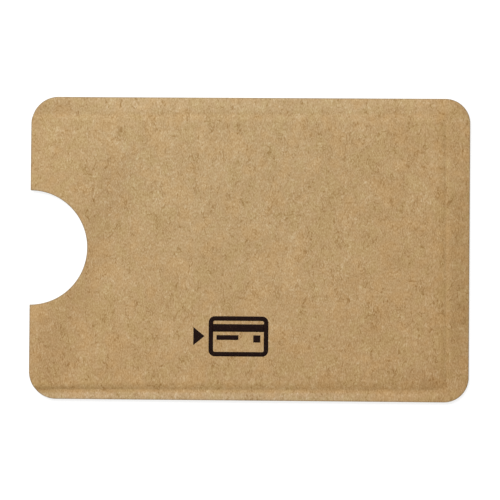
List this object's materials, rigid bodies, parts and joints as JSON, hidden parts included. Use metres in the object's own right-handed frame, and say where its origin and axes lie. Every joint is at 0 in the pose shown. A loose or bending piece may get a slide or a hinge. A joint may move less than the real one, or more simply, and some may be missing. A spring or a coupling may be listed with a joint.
{
  "type": "rfid card holder",
  "caption": "Flat sleeve of foil-lined kraft paper for a bank card, with heat-sealed edges, rounded corners and a half-round thumb notch cut through the open end.",
  "frame": {"origin": "centre of the rear face, which lies on the table, on the plane of that face", "axes": "+X from the open mouth to the closed end, along the card; +Y up the printed front face; +Z out of the front face"},
  "size_m": [0.092, 0.0634, 0.0014],
  "materials": {
    "kraft_paper": "uncoated and matt, with fine curly fibres",
    "laminating_glue": "dried film of glue, satin",
    "aluminium_foil": "rolled, bright, faintly creased",
    "sealing_film": "clear polyethylene film over the foil, glossy",
    "seam_weld": "melted film, satin",
    "printing_ink": "flat brownish black ink with specks of paper showing through"
  },
  "bodies": {
    "root": {"front_kraft_face": "kraft_paper", "front_kraft_rim": "kraft_paper", "front_glue_layer": "laminating_glue", "front_foil": "aluminium_foil", "front_seal_film": "sealing_film", "rear_seal_film": "sealing_film", "rear_foil": "aluminium_foil", "rear_glue_layer": "laminating_glue", "rear_kraft_rim": "kraft_paper", "rear_kraft_face": "kraft_paper", "top_seam_weld": "seam_weld", "bottom_seam_weld": "seam_weld", "end_seam_weld": "seam_weld", "printed_mark": "printing_ink"}
  },
  "joints": []
}
